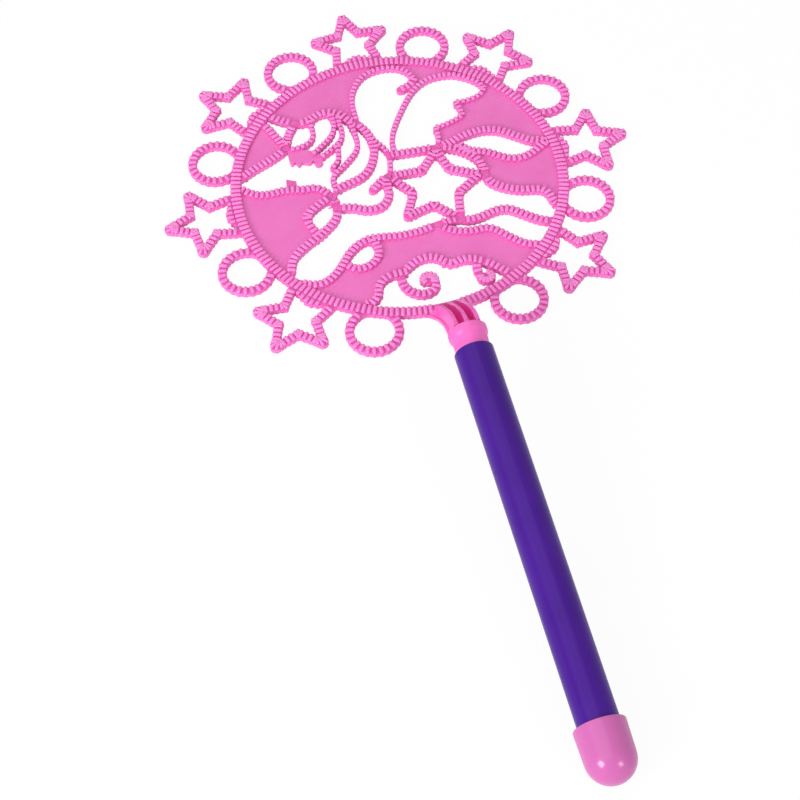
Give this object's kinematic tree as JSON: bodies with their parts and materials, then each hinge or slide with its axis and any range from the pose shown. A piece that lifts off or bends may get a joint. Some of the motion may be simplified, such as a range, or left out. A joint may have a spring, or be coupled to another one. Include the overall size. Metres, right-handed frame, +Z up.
{
  "type": "bubble wand",
  "caption": "Bubble wand with a flat openwork head of ribbed loops, stars and a winged unicorn, a raised neck, a plain tube handle and a domed end cap.",
  "frame": {"origin": "on the resting surface, under the middle of the wand's length and width", "axes": "+X across the head to the right, +Y along the wand from the end cap to the head's top star, +Z up from the resting surface"},
  "size_m": [0.2562, 0.484, 0.0416],
  "materials": {
    "head_plastic": "bright pink moulded plastic with a soft gloss",
    "panel_plastic": "bright pink moulded plastic, thin panels",
    "handle_plastic": "deep purple extruded tube, satin gloss",
    "cap_plastic": "light pink moulded plastic with a soft gloss"
  },
  "bodies": {
    "handle": {"handle_tube": "handle_plastic"},
    "head": {"rim": "head_plastic", "loop_1": "head_plastic", "loop_2": "head_plastic", "loop_3": "head_plastic", "loop_4": "head_plastic", "loop_5": "head_plastic", "loop_6": "head_plastic", "loop_7": "head_plastic", "loop_8": "head_plastic", "star_1": "head_plastic", "star_2": "head_plastic", "star_3": "head_plastic", "star_4": "head_plastic", "star_5": "head_plastic", "star_6": "head_plastic", "star_7": "head_plastic", "horn": "head_plastic", "mane": "head_plastic", "throat": "head_plastic", "wing": "head_plastic", "brow": "head_plastic", "jaw": "head_plastic", "chest": "head_plastic", "belly": "head_plastic", "tail": "head_plastic", "thigh": "head_plastic", "hock": "head_plastic", "shank": "head_plastic", "cloud": "head_plastic", "medal": "head_plastic", "panel_sky": "panel_plastic", "panel_brow": "panel_plastic", "panel_chest": "panel_plastic", "panel_ground": "panel_plastic", "panel_feather": "panel_plastic", "panel_back": "panel_plastic", "panel_flank": "panel_plastic", "panel_forelock": "panel_plastic", "neck_rib_left": "head_plastic", "neck_rib_middle": "head_plastic", "neck_rib_right": "head_plastic", "neck_flank_left": "head_plastic", "neck_flank_right": "head_plastic", "neck_web": "head_plastic", "collar": "head_plastic", "spigot": "head_plastic"},
    "cap": {"end_cap": "cap_plastic"}
  },
  "joints": [
    {"name": "head_pull", "type": "slide", "parent": "handle", "child": "head", "axis": [0, 0.9958, 0.0913], "range_m": [0, 0.025]},
    {"name": "cap_pull", "type": "slide", "parent": "handle", "child": "cap", "axis": [0, -0.9958, -0.0913], "range_m": [0, 0.02]}
  ]
}
